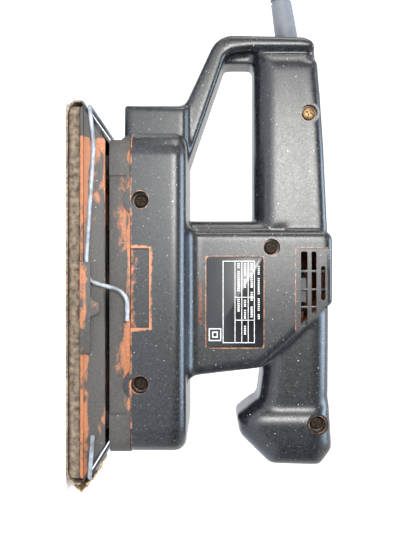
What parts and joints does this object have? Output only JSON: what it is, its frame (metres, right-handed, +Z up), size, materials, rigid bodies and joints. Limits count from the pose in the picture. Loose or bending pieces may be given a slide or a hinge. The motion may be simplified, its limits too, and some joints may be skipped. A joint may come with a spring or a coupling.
{
  "type": "orbital sander",
  "caption": "Third-sheet orbital finishing sander with a D-shaped rear grip, round front knob, vertical motor housing, flat platen with wire paper clamps and a mains lead.",
  "frame": {"origin": "middle of the sanding face, on the surface that the sander stands on", "axes": "+X towards the front knob, +Z up out of the work, +Y to the left of someone who faces the front"},
  "size_m": [0.3515, 0.1508, 0.1335],
  "materials": {
    "housing_plastic": "satin charcoal overspray on orange moulding",
    "platen_plastic": "satin, worn black over orange",
    "black_plastic": "satin",
    "black_rubber": "matt",
    "bright_steel": "ground",
    "galvanised_wire": "dull zinc",
    "brass_plated": "passivated",
    "copper": "enamelled copper",
    "laminations": "stacked sheet steel",
    "aluminium": "die cast",
    "carbon": "matt",
    "foam": "open cell",
    "abrasive_paper": "coarse grit, clogged",
    "felt": "pressed felt",
    "label": "printed foil",
    "yellow_plastic": "moulded case",
    "live_insulation": "brown sleeve",
    "neutral_insulation": "blue sleeve"
  },
  "bodies": {
    "housing": {"housing_right": "housing_plastic", "housing_left": "housing_plastic", "base_skirt": "housing_plastic", "switch_body": "black_plastic", "bearing_bracket": "black_plastic", "cord_clamp": "black_plastic", "cord_guard": "black_rubber", "cord_run": "black_rubber", "cord_coil": "black_rubber", "cord_tail": "black_rubber", "cord_inner_end": "black_rubber", "plug_body": "black_rubber", "lower_bearing": "bright_steel", "upper_bearing": "bright_steel", "brush_spring_right": "bright_steel", "brush_spring_left": "bright_steel", "plug_pin_1": "bright_steel", "plug_pin_2": "bright_steel", "screw_grip": "brass_plated", "screw_motor": "brass_plated", "screw_knob": "brass_plated", "screw_base_rear": "brass_plated", "screw_base_front": "brass_plated", "clamp_screw_1": "brass_plated", "clamp_screw_2": "brass_plated", "brush_holder_right": "brass_plated", "brush_holder_left": "brass_plated", "field_coil_rear": "copper", "field_coil_front": "copper", "field_core": "laminations", "bearing_plate": "aluminium", "carbon_brush_right": "carbon", "carbon_brush_left": "carbon", "dust_seal": "felt", "rating_plate": "label", "capacitor": "yellow_plastic", "lead_live": "live_insulation", "lead_neutral": "neutral_insulation"},
    "rotor": {"motor_shaft": "bright_steel", "armature_core": "laminations", "armature_winding_lower": "copper", "armature_winding_upper": "copper", "commutator": "copper", "cooling_fan": "black_plastic", "eccentric_hub": "bright_steel", "bearing_washer": "bright_steel", "bearing_screw": "bright_steel"},
    "platen": {"platen": "platen_plastic", "backing_pad": "foam", "sanding_sheet": "abrasive_paper", "pad_bearing": "bright_steel", "rubber_leg_1": "black_rubber", "rubber_leg_2": "black_rubber", "rubber_leg_3": "black_rubber", "rubber_leg_4": "black_rubber"},
    "rear_clamp": {"rear_clamp_wire": "galvanised_wire"},
    "front_clamp": {"front_clamp_wire": "galvanised_wire"},
    "switch_rocker": {"switch_rocker": "black_plastic"}
  },
  "joints": [
    {"name": "rotor_spin", "type": "hinge", "parent": "housing", "child": "rotor", "pos_m": [-0.001, 0, 0.07], "axis": [0, 0, 1], "continuous": true},
    {"name": "platen_orbit", "type": "hinge", "parent": "rotor", "child": "platen", "pos_m": [0, 0, 0.014], "axis": [0, 0, 1], "continuous": true},
    {"name": "rear_clamp_lever", "type": "hinge", "parent": "platen", "child": "rear_clamp", "pos_m": [-0.015, -0.0456, 0.0097], "axis": [0.9978, 0, -0.0656], "range_deg": [0, 6]},
    {"name": "front_clamp_lever", "type": "hinge", "parent": "platen", "child": "front_clamp", "pos_m": [0.015, 0.0456, 0.0097], "axis": [-0.9978, 0, -0.0656], "range_deg": [0, 6]},
    {"name": "switch_rocker_tilt", "type": "hinge", "parent": "housing", "child": "switch_rocker", "pos_m": [-0.048, 0, 0.1255], "axis": [0, -1, 0], "range_deg": [0, 8]}
  ],
  "couplings": [
    {"joint": "platen_orbit", "follows": "rotor_spin", "ratio": -1}
  ]
}
